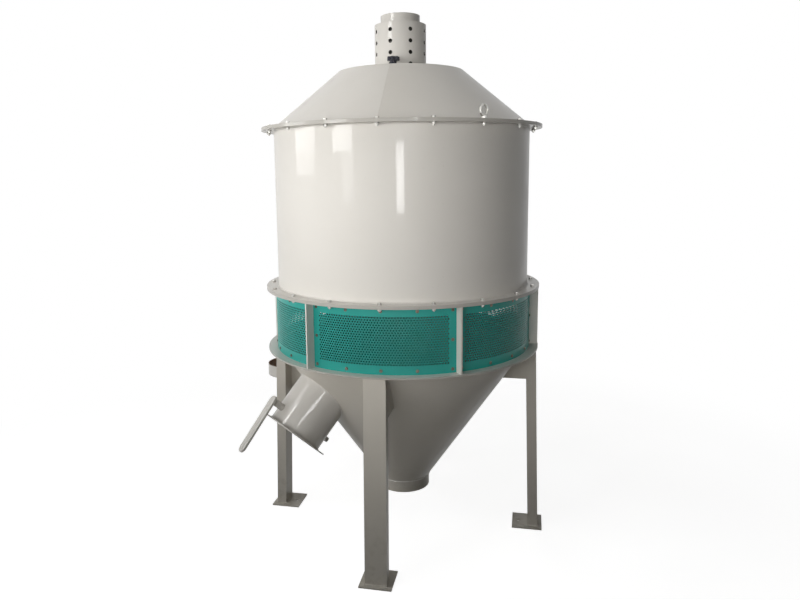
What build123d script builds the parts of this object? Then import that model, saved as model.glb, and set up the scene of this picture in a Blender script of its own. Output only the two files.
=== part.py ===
from build123d import *
import os
from math import atan2, cos, degrees, radians, sin, sqrt

os.makedirs("parts", exist_ok=True)

# Frame: millimetres, +Z up, origin on the floor under the vessel's centre line.
# The front leg stands on -Y. Azimuths are measured from the front leg, positive towards +X.

# Plates and sheets
SHEET = 3.0
RING_T = 6.0
FOOT_T = 6.0
GUSSET_T = 6.0
FIT = 0.3
RUN_FIT = 0.08
FACE_GAP = 0.5
CUT_PAST = 1.0

# Legs and feet
LEG_WIDTH = 80.0
LEG_DEPTH = 40.0
LEG_WALL = 3.0
LEG_LENGTH = 750.0
LEG_INSET = 7.0
LEG_SPLAY = 20.0
FOOT_SIDE = 120.0
FOOT_OVERHANG = 17.0
FOOT_HOLE_R = 7.0
FOOT_HOLE_EDGE = 24.0
GUSSET_DROP = 150.0
LEFT_GUSSET_DROP = 245.0

# Vessel
DRUM_R = 503.0
DRUM_HEIGHT = 604.0
RING_SEAT = 15.0
CONE_DROP = 573.0
NECK_R = 108.0
NECK_LENGTH = 46.0
NECK_WALL = 4.0
ROOF_TOP_R = 247.0
ROOF_RISE = 213.0

# Air inlet ring: perforated screens on rails and posts, between spacer bars
SCREEN_COUNT = 6
SCREEN_STAND = 11.0
SCREEN_T = 2.0
SCREEN_HEIGHT = 236.0
RAIL_T = 4.0
RAIL_HEIGHT = 28.0
POST_WIDTH = 50.0
BAR_T = 6.0
BAR_DEPTH = 36.0
RING_LIP = 2.0
BAR_START = 32.0

# Feed pipe and its adjusting sleeve
PIPE_R = 76.5
PIPE_ABOVE_SLEEVE = 35.0
PIPE_INTO_DRUM = 330.0
SLEEVE_R = 100.5
SLEEVE_HEIGHT = 178.0
SLEEVE_HOLE_R = 7.8
SLEEVE_COLUMNS = 8
SLEEVE_ROWS = 4
SLEEVE_ROW_PITCH = 42.3
SLEEVE_FIRST_ROW = 29.0
SLEEVE_COLUMN_START = -12.0

# Locking knob
KNOB_FROM_SLEEVE = 47.5
KNOB_HEAD_R = 24.5
KNOB_HEAD_H = 16.0
KNOB_HUB_R = 13.0
KNOB_HUB_H = 12.0
KNOB_LOBES = 7
KNOB_LOBE_R = 6.0
KNOB_SCREW_R = 5.0
KNOB_BOSS_R = 11.0
KNOB_BOSS_H = 11.5

# Lifting eyes
EYE_AZIMUTH = 42.0
EYE_INSET = 22.0
EYE_RING_R = 19.0
EYE_WIRE_R = 4.0
EYE_TWIST = 15.0
EYE_COLLAR_R = 11.0
EYE_COLLAR_H = 8.0

# Side spout with its damper
SPOUT_AZIMUTH = -46.0
SPOUT_TILT = 47.5
SPOUT_R = 109.5
SPOUT_END_OUT = 3.0
SPOUT_END_DROP = 297.0
SPOUT_RING_LIP = 29.5
SPOUT_RING_T = 4.0
SHAFT_SETBACK = 55.0
SHAFT_R = 10.0
SHAFT_BOSS_R = 14.0
SHAFT_BOSS_STAND = 12.0
SHAFT_TAIL = 20.0
SHAFT_COLLAR_R = 13.0
SHAFT_COLLAR_H = 24.0
BLADE_GAP = 5.5
BLADE_T = 4.0
BLADE_SLEEVE_R = 14.0
BLADE_SLEEVE_LENGTH = 160.0
BLADE_REST = 8.0
LEVER_REACH = 198.0
LEVER_WIDTH = 38.0
LEVER_T = 8.0
LEVER_STAND = 12.0

# Hose ring behind the left leg
HOSE_RING_R = 100.0
HOSE_RING_T = 4.0
HOSE_RING_H = 50.0
HOSE_RING_DROP = 161.0
HOSE_RING_OUT = 27.0
HOSE_TAB = 18.0
HOSE_TAB_W = 30.0

# Heights and radii that follow from the sizes above
LEG_TOP = FOOT_T + LEG_LENGTH
LOWER_RING_TOP = LEG_TOP + RING_T
MID_RING_BOTTOM = LOWER_RING_TOP + SCREEN_HEIGHT
DRUM_BOTTOM = MID_RING_BOTTOM + 2 * RING_T
DRUM_TOP = DRUM_BOTTOM + DRUM_HEIGHT
ROOF_BOTTOM = DRUM_TOP + 2 * RING_T
ROOF_TOP = ROOF_BOTTOM + ROOF_RISE
SLEEVE_TOP = ROOF_TOP + SLEEVE_HEIGHT
PIPE_TOP = SLEEVE_TOP + PIPE_ABOVE_SLEEVE
CONE_BOTTOM = LEG_TOP - CONE_DROP
RING_BORE_R = DRUM_R - RING_SEAT
SCREEN_R = DRUM_R + SCREEN_STAND
SCREEN_BACK_R = SCREEN_R - SCREEN_T
RAIL_R = SCREEN_BACK_R - FIT
BAR_OUTER_R = SCREEN_BACK_R + BAR_DEPTH
RING_R = BAR_OUTER_R + RING_LIP
LEG_OUTER_R = RING_R - LEG_INSET
FOOT_OUTER_R = LEG_OUTER_R + LEG_SPLAY + FOOT_OVERHANG
EYE_PLACE_R = RING_R - EYE_INSET
KNOB_PLACE_R = SLEEVE_R + KNOB_FROM_SLEEVE
SPOUT_END_R = DRUM_R + SPOUT_END_OUT
SPOUT_RING_R = SPOUT_R + SPOUT_RING_LIP
SPOUT_END_Z = LEG_TOP - SPOUT_END_DROP
HOSE_RING_TOP = LEG_TOP - HOSE_RING_DROP
CONE_SLOPE = (DRUM_R - NECK_R) / CONE_DROP


def outward(azimuth):
    """Unit vector away from the centre line at an azimuth in degrees."""
    return Vector(sin(radians(azimuth)), -cos(radians(azimuth)), 0)


def along(azimuth):
    """Horizontal unit vector along the circle, towards larger azimuths."""
    return Vector(cos(radians(azimuth)), sin(radians(azimuth)), 0)


def turned(shape, azimuth):
    """A shape that was drawn at the front, turned to its azimuth."""
    return shape.rotate(Axis.Z, azimuth)


def round_bar(radius, low, high):
    """Upright cylinder on the centre line between two heights."""
    return Pos(0, 0, low) * Cylinder(radius, high - low, align=(Align.CENTER, Align.CENTER, Align.MIN))


def tube(radius, inner, low, high):
    """Upright tube on the centre line between two heights."""
    return round_bar(radius, low, high) - round_bar(inner, low - CUT_PAST, high + CUT_PAST)


def revolved(points):
    """Solid of revolution from a profile of radius and height pairs."""
    with BuildPart() as body:
        with BuildSketch(Plane.XZ):
            with BuildLine():
                Polyline(*points, close=True)
            make_face()
        revolve(axis=Axis.Z)
    return body.part


def block(x_low, x_high, y_low, y_high, z_low, z_high):
    """Box between two corners."""
    box = Box(x_high - x_low, y_high - y_low, z_high - z_low)
    return Pos((x_low + x_high) / 2, (y_low + y_high) / 2, (z_low + z_high) / 2) * box


def slab(x_low, x_high, points):
    """Upright plate between two values of X, from an outline of Y and Z pairs."""
    with BuildPart() as body:
        with BuildSketch(Plane.YZ.offset(x_low)):
            with BuildLine():
                Polyline(*points, close=True)
            make_face()
        extrude(amount=x_high - x_low)
    return body.part


def leg_radius(height):
    """Radius of a leg's outer face at a height; the legs lean outwards towards the floor."""
    return LEG_OUTER_R + (LEG_TOP - height) * LEG_SPLAY / LEG_LENGTH


def cone_radius(height):
    """Outer radius of the cone hopper at a height."""
    return NECK_R + (height - CONE_BOTTOM) * CONE_SLOPE


def save(name, shape):
    """Write one sub-part."""
    export_step(shape, f"parts/{name}.step")


# Feet and legs, drawn at the front
def foot_plate():
    inner = FOOT_OUTER_R - FOOT_SIDE
    plate = block(-FOOT_SIDE / 2, FOOT_SIDE / 2, -FOOT_OUTER_R, -inner, 0, FOOT_T)
    hole = Pos(0, -(inner + FOOT_HOLE_EDGE), 0) * round_bar(FOOT_HOLE_R, -CUT_PAST, FOOT_T + CUT_PAST)
    return plate - hole


def leg_bar(wall, low, high):
    """Leaning bar between two heights, set in from the leg's faces by a wall."""
    half = LEG_WIDTH / 2 - wall
    outline = [
        (wall - leg_radius(low), low), (LEG_DEPTH - wall - leg_radius(low), low),
        (LEG_DEPTH - wall - leg_radius(high), high), (wall - leg_radius(high), high),
    ]
    return slab(-half, half, outline)


def leg():
    return leg_bar(0, FOOT_T, LEG_TOP) - leg_bar(LEG_WALL, FOOT_T - CUT_PAST, LEG_TOP + CUT_PAST)


def gusset(side, drop):
    """Upright plate from a leg to the cone, at one edge of the leg's inner face."""
    bottom = LEG_TOP - drop
    reach = cone_radius(bottom) - GUSSET_T
    edge = side * (LEG_WIDTH / 2 - GUSSET_T)
    low, high = sorted((edge, edge + side * GUSSET_T))
    outline = [
        (LEG_DEPTH - leg_radius(bottom), bottom), (-reach, bottom),
        (-reach, LEG_TOP), (LEG_DEPTH - leg_radius(LEG_TOP), LEG_TOP),
    ]
    grown = FIT * sqrt(1 + CONE_SLOPE**2)
    cut_bottom = bottom - RING_T
    keep_out = revolved([
        (0, cut_bottom), (cone_radius(cut_bottom) + grown, cut_bottom),
        (cone_radius(LEG_TOP + RING_T) + grown, LEG_TOP + RING_T), (0, LEG_TOP + RING_T),
    ])
    return slab(low, high, outline) - keep_out


LEGS = {
    "front": (0, 1, GUSSET_DROP),
    "right": (90, 1, GUSSET_DROP),
    "back": (180, -1, GUSSET_DROP),
    "left": (-90, -1, LEFT_GUSSET_DROP),
}
gussets = []
for leg_name, (leg_azimuth, gusset_side, gusset_drop) in LEGS.items():
    save(f"foot_plate_{leg_name}", turned(foot_plate(), leg_azimuth))
    save(f"leg_{leg_name}", turned(leg(), leg_azimuth))
    gussets.append(turned(gusset(gusset_side, gusset_drop), leg_azimuth).solid())
save("gussets", Compound(children=gussets))


# Flange rings: each joint of the vessel has a ring above and a ring below
RING_BOTTOMS = {
    "lower_ring": LEG_TOP,
    "middle_ring_under": MID_RING_BOTTOM,
    "middle_ring_over": MID_RING_BOTTOM + RING_T,
    "top_ring_under": DRUM_TOP,
    "top_ring_over": DRUM_TOP + RING_T,
}
for ring_name, ring_bottom in RING_BOTTOMS.items():
    save(ring_name, tube(RING_R, RING_BORE_R, ring_bottom, ring_bottom + RING_T))


# Drum and roof
save("drum_shell", tube(DRUM_R, DRUM_R - SHEET, DRUM_BOTTOM, DRUM_TOP))

roof_lean = (DRUM_R - ROOF_TOP_R) / ROOF_RISE
roof_wall = SHEET * sqrt(1 + roof_lean**2)
roof_plate_bottom = ROOF_TOP - SHEET
roof_edge_r = ROOF_TOP_R + SHEET * roof_lean
save("roof_cone", revolved([
    (DRUM_R, ROOF_BOTTOM),
    (roof_edge_r, roof_plate_bottom),
    (roof_edge_r - roof_wall, roof_plate_bottom),
    (DRUM_R - roof_wall, ROOF_BOTTOM),
]))
roof_disc = revolved([
    (PIPE_R + FIT, roof_plate_bottom),
    (roof_edge_r, roof_plate_bottom),
    (ROOF_TOP_R, ROOF_TOP),
    (PIPE_R + FIT, ROOF_TOP),
])
save("roof_plate", roof_disc)


# Feed pipe and adjusting sleeve
save("feed_pipe", tube(PIPE_R, PIPE_R - SHEET, ROOF_TOP - PIPE_INTO_DRUM, PIPE_TOP))

sleeve = tube(SLEEVE_R, SLEEVE_R - SHEET, ROOF_TOP, SLEEVE_TOP)
for column in range(SLEEVE_COLUMNS):
    hole_azimuth = SLEEVE_COLUMN_START + column * 360 / SLEEVE_COLUMNS
    for row in range(SLEEVE_ROWS):
        hole_z = SLEEVE_TOP - SLEEVE_FIRST_ROW - row * SLEEVE_ROW_PITCH
        place = outward(hole_azimuth) * SLEEVE_R + Vector(0, 0, hole_z)
        drill = Plane(origin=place, z_dir=outward(hole_azimuth)) * Cylinder(SLEEVE_HOLE_R, 4 * SHEET)
        sleeve = sleeve - drill
save("adjusting_sleeve", sleeve)


# Locking knob on its boss, in line with the front leg
knob_spot = Pos(0, -KNOB_PLACE_R, 0)
knob_boss_top = ROOF_TOP + KNOB_BOSS_H
knob_bottom = knob_boss_top + FACE_GAP
knob_neck = knob_bottom + KNOB_HUB_H
knob_top = knob_neck + KNOB_HEAD_H
save("knob_boss", knob_spot * tube(KNOB_BOSS_R, KNOB_SCREW_R + RUN_FIT, ROOF_TOP, knob_boss_top))

knob = round_bar(KNOB_HUB_R, knob_bottom, knob_neck)
knob = knob + round_bar(KNOB_HEAD_R - KNOB_LOBE_R, knob_neck, knob_top)
for lobe in range(KNOB_LOBES):
    lobe_place = Pos(outward(lobe * 360 / KNOB_LOBES) * (KNOB_HEAD_R - KNOB_LOBE_R))
    knob = knob + lobe_place * round_bar(KNOB_LOBE_R, knob_neck, knob_top)
knob = knob + round_bar(KNOB_SCREW_R, ROOF_TOP + SHEET, knob_bottom)
save("locking_knob", knob_spot * knob)


# Lifting eyes on the top rings
def lifting_eye():
    """Eye standing on the upper ring at the front: ring, collar and the shank under the rings."""
    ring_z = ROOF_BOTTOM + EYE_COLLAR_H + EYE_RING_R
    loop = Pos(0, 0, ring_z) * (Rot(0, 0, EYE_TWIST) * (Rot(90, 0, 0) * Torus(EYE_RING_R, EYE_WIRE_R)))
    collar = round_bar(EYE_COLLAR_R, ROOF_BOTTOM, ROOF_BOTTOM + EYE_COLLAR_H)
    return Pos(0, -EYE_PLACE_R, 0) * (loop + collar)


save("lifting_eye_right", turned(lifting_eye(), EYE_AZIMUTH))
save("lifting_eye_left", turned(lifting_eye(), EYE_AZIMUTH + 180))


# Air inlet ring
lower_rail = tube(RAIL_R, RAIL_R - RAIL_T, LOWER_RING_TOP, LOWER_RING_TOP + RAIL_HEIGHT)
upper_rail = tube(RAIL_R, RAIL_R - RAIL_T, MID_RING_BOTTOM - RAIL_HEIGHT, MID_RING_BOTTOM)
save("screen_rails", Compound(children=[lower_rail.solid(), upper_rail.solid()]))

screen_step = 360 / SCREEN_COUNT
post_bottom = LOWER_RING_TOP + RAIL_HEIGHT
post_top = MID_RING_BOTTOM - RAIL_HEIGHT
post_sheet = tube(RAIL_R, RAIL_R - RAIL_T, post_bottom, post_top)
post_cut = block(-POST_WIDTH / 2, POST_WIDTH / 2, -SCREEN_R, 0, post_bottom, post_top)
front_post = post_sheet & post_cut
front_bar = block(-BAR_T / 2, BAR_T / 2, -BAR_OUTER_R, -SCREEN_BACK_R, LOWER_RING_TOP, MID_RING_BOTTOM)
posts = [turned(front_post, BAR_START + k * screen_step) for k in range(SCREEN_COUNT)]
bars = [turned(front_bar, BAR_START + k * screen_step) for k in range(SCREEN_COUNT)]
save("screen_posts", Compound(children=posts))
save("spacer_bars", Compound(children=bars))


def screen():
    """One curved panel between two spacer bars, centred at the front."""
    edge = degrees((BAR_T / 2 + FIT) / SCREEN_BACK_R)
    half = screen_step / 2 - edge
    with BuildPart() as panel:
        with BuildSketch(Plane.XZ):
            with BuildLine():
                Polyline(
                    (SCREEN_BACK_R, LOWER_RING_TOP), (SCREEN_R, LOWER_RING_TOP),
                    (SCREEN_R, MID_RING_BOTTOM), (SCREEN_BACK_R, MID_RING_BOTTOM), close=True,
                )
            make_face()
        revolve(axis=Axis.Z, revolution_arc=2 * half)
    centre = panel.part.center()
    return panel.part.rotate(Axis.Z, -90 - degrees(atan2(centre.Y, centre.X)))


SCREEN_NAMES = ["front", "front_right", "back_right", "back", "back_left", "front_left"]
for number, screen_name in enumerate(SCREEN_NAMES):
    screen_azimuth = BAR_START + (number - 0.5) * screen_step
    save(f"screen_{screen_name}", turned(screen(), screen_azimuth))


# Cone hopper, rolled in four quarters, and outlet neck
spout_out = outward(SPOUT_AZIMUTH)
spout_side = along(SPOUT_AZIMUTH)
spout_dir = spout_out * cos(radians(SPOUT_TILT)) - Vector(0, 0, 1) * sin(radians(SPOUT_TILT))
shaft_dir = spout_out * sin(radians(SPOUT_TILT)) + Vector(0, 0, 1) * cos(radians(SPOUT_TILT))
spout_end = spout_out * SPOUT_END_R + Vector(0, 0, SPOUT_END_Z)
SPOUT_REACH = 420.0


def on_spout(radius, start, end):
    """Cylinder round the spout's axis, from start to end before the spout's end face."""
    base = Plane(origin=spout_end - spout_dir * start, x_dir=spout_side, z_dir=spout_dir)
    return base * Cylinder(radius, start - end, align=(Align.CENTER, Align.CENTER, Align.MIN))


cone_wall = SHEET * sqrt(1 + CONE_SLOPE**2)
cone_shell = revolved([
    (NECK_R, CONE_BOTTOM), (DRUM_R, LEG_TOP),
    (DRUM_R - cone_wall, LEG_TOP), (NECK_R - cone_wall, CONE_BOTTOM),
])
spout_bore = on_spout(SPOUT_R - SHEET, SPOUT_REACH, 0)
cone_body = cone_shell - spout_bore
cone_quarters = {
    "cone_front_right": (0, DRUM_R, -DRUM_R, 0),
    "cone_back_right": (0, DRUM_R, 0, DRUM_R),
    "cone_back_left": (-DRUM_R, 0, 0, DRUM_R),
    "cone_front_left": (-DRUM_R, 0, -DRUM_R, 0),
}
for quarter_name, (x_low, x_high, y_low, y_high) in cone_quarters.items():
    quarter = cone_body & block(x_low, x_high, y_low, y_high, CONE_BOTTOM, LEG_TOP)
    save(quarter_name, quarter)
save("outlet_neck", tube(NECK_R, NECK_R - NECK_WALL, CONE_BOTTOM - NECK_LENGTH, CONE_BOTTOM))


# Side spout
grown_cone = FIT * sqrt(1 + CONE_SLOPE**2)
cone_outside = revolved([
    (0, CONE_BOTTOM), (NECK_R + grown_cone, CONE_BOTTOM), (DRUM_R + grown_cone, LEG_TOP), (0, LEG_TOP),
])
shaft_spot = spout_end - spout_dir * SHAFT_SETBACK


def on_shaft(radius, low, high):
    """Cylinder round the damper shaft between two distances from the spout's axis."""
    base = Plane(origin=shaft_spot + shaft_dir * low, x_dir=spout_side, z_dir=shaft_dir)
    return base * Cylinder(radius, high - low, align=(Align.CENTER, Align.CENTER, Align.MIN))


spout_tube = on_spout(SPOUT_R, SPOUT_REACH, SPOUT_RING_T) - on_spout(SPOUT_R - SHEET, SPOUT_REACH + CUT_PAST, 0)
spout_tube = spout_tube - cone_outside
spout_tube = spout_tube - on_shaft(SHAFT_R + RUN_FIT, -2 * SPOUT_R, 2 * SPOUT_R)
far_side = [piece for piece in spout_tube.solids() if piece.center().dot(spout_out) > 0]
save("side_spout", max(far_side, key=lambda piece: piece.volume))

save("spout_ring", on_spout(SPOUT_RING_R, SPOUT_RING_T, 0) - on_spout(SPOUT_R - SHEET, 2 * SPOUT_RING_T, -CUT_PAST))

boss_top = SPOUT_R + SHAFT_BOSS_STAND
boss_bore = on_shaft(SHAFT_R + RUN_FIT, -2 * SPOUT_R, 2 * SPOUT_R)
boss_trim = on_spout(SPOUT_R + FIT, SPOUT_REACH, -SPOUT_R)
upper_boss = on_shaft(SHAFT_BOSS_R, SPOUT_R / 2, boss_top) - boss_trim - boss_bore
lower_boss = on_shaft(SHAFT_BOSS_R, -boss_top, -SPOUT_R / 2) - boss_trim - boss_bore
save("shaft_bosses", Compound(children=[upper_boss.solid(), lower_boss.solid()]))


# Damper: shaft, blade and hand lever turn together
collar_bottom = boss_top + FACE_GAP
lever_bottom = collar_bottom + SHAFT_COLLAR_H + LEVER_STAND
shaft = on_shaft(SHAFT_R, -boss_top - SHAFT_TAIL, lever_bottom - FIT)
shaft = shaft + on_shaft(SHAFT_COLLAR_R, collar_bottom, collar_bottom + SHAFT_COLLAR_H)
save("damper_shaft", shaft)


def turned_on_shaft(shape, angle):
    """A damper piece turned about the shaft, from the closed position towards the front."""
    return shape.rotate(Axis(shaft_spot, shaft_dir), angle)


blade_r = SPOUT_R - SHEET - BLADE_GAP
blade = on_spout(blade_r, SHAFT_SETBACK + BLADE_T / 2, SHAFT_SETBACK - BLADE_T / 2)
blade_sleeve = on_shaft(BLADE_SLEEVE_R, -BLADE_SLEEVE_LENGTH / 2, BLADE_SLEEVE_LENGTH / 2)
blade_bore = on_shaft(SHAFT_R + RUN_FIT, -SPOUT_R, SPOUT_R)
save("damper_blade", turned_on_shaft(blade + blade_sleeve - blade_bore, BLADE_REST))

lever_plane = Plane(origin=shaft_spot + shaft_dir * lever_bottom, x_dir=spout_dir, z_dir=shaft_dir)
lever_outline = Pos(LEVER_REACH / 2, 0) * SlotCenterToCenter(LEVER_REACH, LEVER_WIDTH)
save("damper_lever", turned_on_shaft(extrude(lever_plane * lever_outline, LEVER_T), BLADE_REST))


# Hose ring, carried by a tab on the left leg's back side
ring_back = LEG_WIDTH / 2 + HOSE_TAB + HOSE_RING_R
ring_bottom = HOSE_RING_TOP - HOSE_RING_H
leg_middle_r = leg_radius((ring_bottom + HOSE_RING_TOP) / 2) - LEG_DEPTH / 2
ring_place = Pos(-leg_middle_r - HOSE_RING_OUT, ring_back, 0)
hose_ring = ring_place * tube(HOSE_RING_R, HOSE_RING_R - HOSE_RING_T, ring_bottom, HOSE_RING_TOP)
tab = block(
    -leg_middle_r - HOSE_TAB_W / 2, -leg_middle_r + HOSE_TAB_W / 2,
    LEG_WIDTH / 2, ring_back - HOSE_RING_R / 2, ring_bottom, HOSE_RING_TOP,
)
tab = tab - ring_place * round_bar(
    HOSE_RING_R - HOSE_RING_T / 2, ring_bottom - CUT_PAST, HOSE_RING_TOP + CUT_PAST,
)
save("hose_ring", hose_ring + tab)
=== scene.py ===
"""Looks of the round air separator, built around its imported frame."""

import logging
import math
from dataclasses import dataclass, field, replace
from enum import Enum
from typing import Callable, Sequence

import bmesh
import bpy
from mathutils import Matrix, Quaternion, Vector


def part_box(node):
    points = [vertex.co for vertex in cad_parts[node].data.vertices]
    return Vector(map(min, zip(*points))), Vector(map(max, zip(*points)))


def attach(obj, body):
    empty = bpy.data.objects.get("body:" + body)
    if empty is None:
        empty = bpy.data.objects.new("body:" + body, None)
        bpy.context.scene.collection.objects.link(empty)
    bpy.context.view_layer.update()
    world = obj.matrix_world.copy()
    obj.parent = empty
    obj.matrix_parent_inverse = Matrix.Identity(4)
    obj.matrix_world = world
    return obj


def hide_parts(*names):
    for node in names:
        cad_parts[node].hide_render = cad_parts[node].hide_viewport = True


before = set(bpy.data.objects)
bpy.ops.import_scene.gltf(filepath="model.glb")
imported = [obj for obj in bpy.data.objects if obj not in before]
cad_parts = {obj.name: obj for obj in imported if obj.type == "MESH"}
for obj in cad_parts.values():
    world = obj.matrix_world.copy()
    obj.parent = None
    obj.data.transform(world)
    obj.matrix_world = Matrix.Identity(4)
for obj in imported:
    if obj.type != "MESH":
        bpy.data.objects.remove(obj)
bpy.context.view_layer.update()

LOG = logging.getLogger("separator")
NODES: dict[str, bpy.types.Object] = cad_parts
FIXED_BODY = "separator"
KNOB_BODY = "knob"
CONE_QUARTERS = ("cone_front_right", "cone_back_right", "cone_back_left", "cone_front_left")
BAR_SHIFT = 2.0
WARM_WHITE = (1.0, 0.985, 0.965)
DULL = 0.08
# Near-black painted shade for unlit bores, gaps and the backs of the screens.
PAINTED_SHADE_BLACK = (0.035, 0.033, 0.030, 1.0)

Socket = bpy.types.NodeSocket
Tree = bpy.types.NodeTree
Material = bpy.types.Material
Mesh = bpy.types.Mesh
Shape = bmesh.types.BMesh
Pair = tuple[float, float]
Point = tuple[float, float, float]
Colour = tuple[float, float, float, float]
Inputs = dict[int | str, object]
WeldLine = tuple[Sequence[Vector], bool]


class Slot(Enum):
    """The record's material slots."""

    GREY = "light_grey_paint"
    GREEN = "green_paint"
    ZINC = "zinc_plate"
    BLACK = "black_plastic"


class SpinAxis(Enum):
    """The axis that a fastener turns about, in its own drawing at the front."""

    UPRIGHT = (0.0, 0.0, 1.0)
    OUTWARD = (0.0, 1.0, 0.0)


def outward(azimuth: float) -> Vector:
    """Unit vector away from the centre line, at an azimuth in degrees from the front leg."""
    turn = math.radians(azimuth)
    return Vector((math.sin(turn), -math.cos(turn), 0.0))


def along(azimuth: float) -> Vector:
    """Unit vector along the circle towards larger azimuths."""
    turn = math.radians(azimuth)
    return Vector((math.cos(turn), math.sin(turn), 0.0))


def spot(azimuth: float, reach: float, height: float, side: float = 0.0) -> Vector:
    """Place at an azimuth, some way out from the centre line, up and to the side."""
    return along(azimuth) * side + outward(azimuth) * reach + Vector((0, 0, height))


def put(name: str, data: bpy.types.ID) -> bpy.types.Object:
    """A new object in the scene."""
    made = bpy.data.objects.new(name, data)
    bpy.context.scene.collection.objects.link(made)
    return made


def plain(name: str, shape: Shape) -> Mesh:
    """Plain mesh of a shape, which is freed."""
    mesh = bpy.data.meshes.new(name)
    shape.to_mesh(mesh)
    shape.free()
    return mesh


def polar(radius: float, turn: float) -> Pair:
    """Point on a circle, at a turn in radians from +X."""
    return radius * math.cos(turn), radius * math.sin(turn)


def top_of(node: str) -> float:
    """Height of a node's top."""
    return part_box(node)[1].z


def bottom_of(node: str) -> float:
    """Height of a node's underside."""
    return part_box(node)[0].z


def radius_of(node: str) -> float:
    """Outer radius of a node that is centred on the vessel."""
    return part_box(node)[1].x


def operator(name: str) -> Callable[["Number", object], "Number"]:
    """A method for one operation of the Math node."""
    return lambda number, other: number.step(name, other)


class Number:
    """A node's output to reckon with. Each step adds a Math node to its tree."""

    def __init__(self, tree: Tree, socket: Socket) -> None:
        """Wraps a socket."""
        self.tree, self.socket = tree, socket

    def step(self, operation: str, *others: object, clamp: bool = False) -> "Number":
        """Result of a Math node on this number and others."""
        return reckon(self.tree, operation, self, *others, clamp=clamp)

    __add__, __sub__, __mul__, __truediv__, __lt__, __gt__ = (
        operator(name) for name in ("ADD", "SUBTRACT", "MULTIPLY", "DIVIDE", "LESS_THAN", "GREATER_THAN")
    )

    def __rsub__(self, other: object) -> "Number":
        """Difference from a plain value."""
        return reckon(self.tree, "SUBTRACT", other, self)


def feed(tree: Tree, target: Socket, value: object) -> None:
    """Links a number or a socket, or sets a plain value."""
    if isinstance(value, Number):
        value = value.socket
    if isinstance(value, bpy.types.NodeSocket):
        tree.links.new(value, target)
    else:
        target.default_value = value


def reckon(tree: Tree, operation: str, *values: object, clamp: bool = False) -> Number:
    """Result of a Math node."""
    node = add_node(tree, "ShaderNodeMath", dict(enumerate(values)), operation=operation, use_clamp=clamp)
    return Number(tree, node.outputs[0])


def add_node(tree: Tree, kind: str, inputs: Inputs | None = None, **settings: object) -> bpy.types.Node:
    """Adds a node.

    Args:
        tree: The node tree.
        kind: The node's type.
        inputs: Links or values by socket name or number.
        settings: The node's own settings.

    Returns:
        The node.
    """
    made = tree.nodes.new(kind)
    for name, value in settings.items():
        setattr(made, name, value)
    for key, value in (inputs or {}).items():
        feed(tree, made.inputs[key], value)
    return made


class ShaderBench:
    """One material's node tree, filled in a few words. Every pattern reads Object coordinates."""

    def __init__(self, name: str) -> None:
        """Starts an empty material with a Principled shader."""
        self.material = bpy.data.materials.new(name)
        self.material.use_nodes = True
        self.tree = self.material.node_tree
        self.tree.nodes.clear()
        self.shader = self.node("BsdfPrincipled")
        self.output = self.node("OutputMaterial", {"Surface": self.shader.outputs["BSDF"]})
        self.place = self.node("TexCoord").outputs["Object"]

    def node(self, kind: str, inputs: Inputs | None = None, **settings: object) -> bpy.types.Node:
        """Adds a shader node."""
        return add_node(self.tree, "ShaderNode" + kind, inputs, **settings)

    def noise(self, scale: float, detail: float = 3.0, roughness: float = 0.55,
              stretch: Point = (1.0, 1.0, 1.0)) -> Number:
        """Noise factor.

        Args:
            scale: Patches per metre.
            detail: Octaves.
            roughness: Strength of the finer octaves.
            stretch: Scale along each axis before the noise.

        Returns:
            The factor.
        """
        source = self.place
        if stretch != (1.0, 1.0, 1.0):
            source = self.node("Mapping", {"Vector": source, "Scale": stretch}).outputs["Vector"]
        inputs = {"Scale": scale, "Detail": detail, "Roughness": roughness, "Vector": source}
        return Number(self.tree, self.node("TexNoise", inputs).outputs["Fac"])

    def spread(self, value: object, low: float, high: float, new_low: float = 0.0,
               new_high: float = 1.0) -> Number:
        """Smooth clamped remap of a value from one span to another."""
        inputs = {"Value": value, "From Min": low, "From Max": high, "To Min": new_low, "To Max": new_high}
        node = self.node("MapRange", inputs, interpolation_type="SMOOTHSTEP")
        return Number(self.tree, node.outputs["Result"])

    def mix(self, amount: object, first: object, second: object) -> Socket:
        """Blend of two colours."""
        return self.node("Mix", {0: amount, 6: first, 7: second}, data_type="RGBA").outputs[2]

    def axis(self, letter: str) -> Number:
        """One of the Object coordinates."""
        return Number(self.tree, self.node("SeparateXYZ", {0: self.place}).outputs[letter])

    def distance_from(self, centre: Pair) -> Number:
        """Horizontal distance from an upright line."""
        across, deep = self.axis("X") - centre[0], self.axis("Y") - centre[1]
        return (across * across + deep * deep).step("SQRT")

    def edges(self, radius: float) -> Number:
        """One on sharp edges, nothing on open faces."""
        bevel = self.node("Bevel", {"Radius": radius}, samples=4)
        flat = self.node("NewGeometry")
        normals = {0: bevel.outputs["Normal"], 1: flat.outputs["Normal"]}
        dot = self.node("VectorMath", normals, operation="DOT_PRODUCT")
        return self.spread(dot.outputs["Value"], 0.97, 0.80)

    def bump(self, height: object, distance: float, strength: float = 1.0,
             under: Socket | None = None) -> Socket:
        """Bumped normal.

        Args:
            height: Height factor.
            distance: Height of a full step, in metres.
            strength: Share of it that shows.
            under: A bump that this one adds to.

        Returns:
            The normal socket.
        """
        inputs = {"Distance": distance, "Strength": strength, "Height": height}
        if under is not None:
            inputs["Normal"] = under
        return self.node("Bump", inputs).outputs["Normal"]

    def set(self, **values: object) -> None:
        """Feeds the shader's sockets, named with underscores for spaces."""
        for name, value in values.items():
            feed(self.tree, self.shader.inputs[name.replace("_", " ")], value)


@dataclass(frozen=True)
class Inside:
    """Where a painted shell turns into its bare inner face, drawn darker as painted shade of the unlit
    inside: inside radius = base + slope * height.
    """

    base: float
    slope: float = 0.0
    centre: Pair = (0.0, 0.0)
    # Bare steel darkened as painted shade of the unlit inside.
    colour: Colour = (0.13, 0.125, 0.115, 1.0)


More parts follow.
